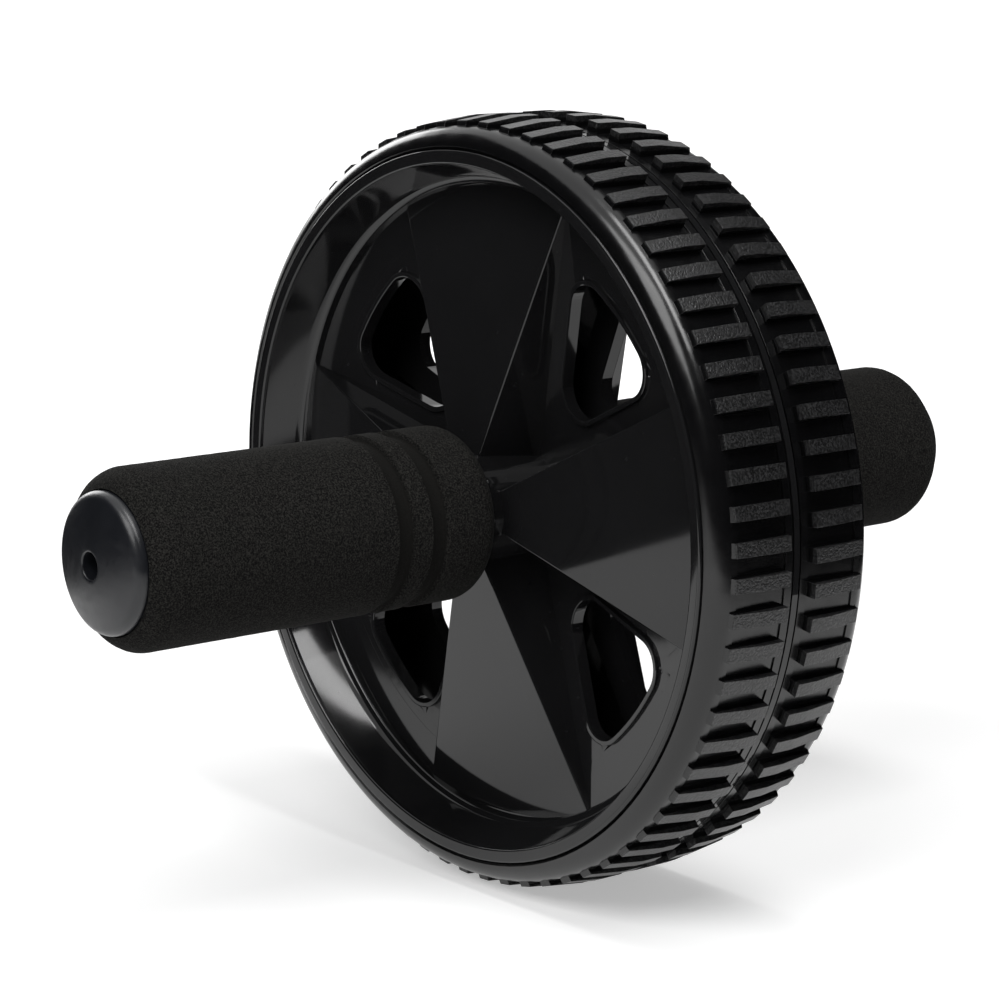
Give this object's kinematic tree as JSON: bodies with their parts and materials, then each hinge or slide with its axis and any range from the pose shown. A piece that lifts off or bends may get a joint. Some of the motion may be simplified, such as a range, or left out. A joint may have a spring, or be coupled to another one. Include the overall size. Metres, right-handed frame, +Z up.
{
  "type": "ab wheel roller",
  "caption": "Ab wheel roller: lugged rubber tyres on a dished, spoked wheel that spins on an axle between foam hand grips.",
  "frame": {"origin": "on the floor under the middle of the axle, at the centre of the bounding box's bottom", "axes": "+Y along the axle towards the rear grip, +Z up, +X the way the wheel rolls"},
  "size_m": [0.181, 0.2464, 0.181],
  "materials": {
    "rod_steel": "satin",
    "screw_steel": "satin",
    "core_plastic": "matte",
    "washer_plastic": "satin",
    "bush_nylon": "satin",
    "cap_plastic": "satin",
    "wheel_plastic": "gloss",
    "tyre_rubber": "satin",
    "grip_foam": "matte, open-cell speckle"
  },
  "bodies": {
    "handles": {"axle_rod": "rod_steel", "front_handle_core": "core_plastic", "front_grip": "grip_foam", "front_end_cap": "cap_plastic", "front_axle_screw": "screw_steel", "front_screw_washer": "screw_steel", "front_thrust_washer": "washer_plastic", "rear_handle_core": "core_plastic", "rear_grip": "grip_foam", "rear_end_cap": "cap_plastic", "rear_axle_screw": "screw_steel", "rear_screw_washer": "screw_steel", "rear_thrust_washer": "washer_plastic"},
    "wheel": {"front_wheel": "wheel_plastic", "front_tyre": "tyre_rubber", "front_hub_bush": "bush_nylon", "rear_wheel": "wheel_plastic", "rear_tyre": "tyre_rubber", "rear_hub_bush": "bush_nylon", "hub_sleeve": "core_plastic"}
  },
  "joints": [
    {"name": "wheel_spin", "type": "hinge", "parent": "handles", "child": "wheel", "pos_m": [0, 0, 0.0905], "axis": [0, 1, 0], "continuous": true}
  ]
}
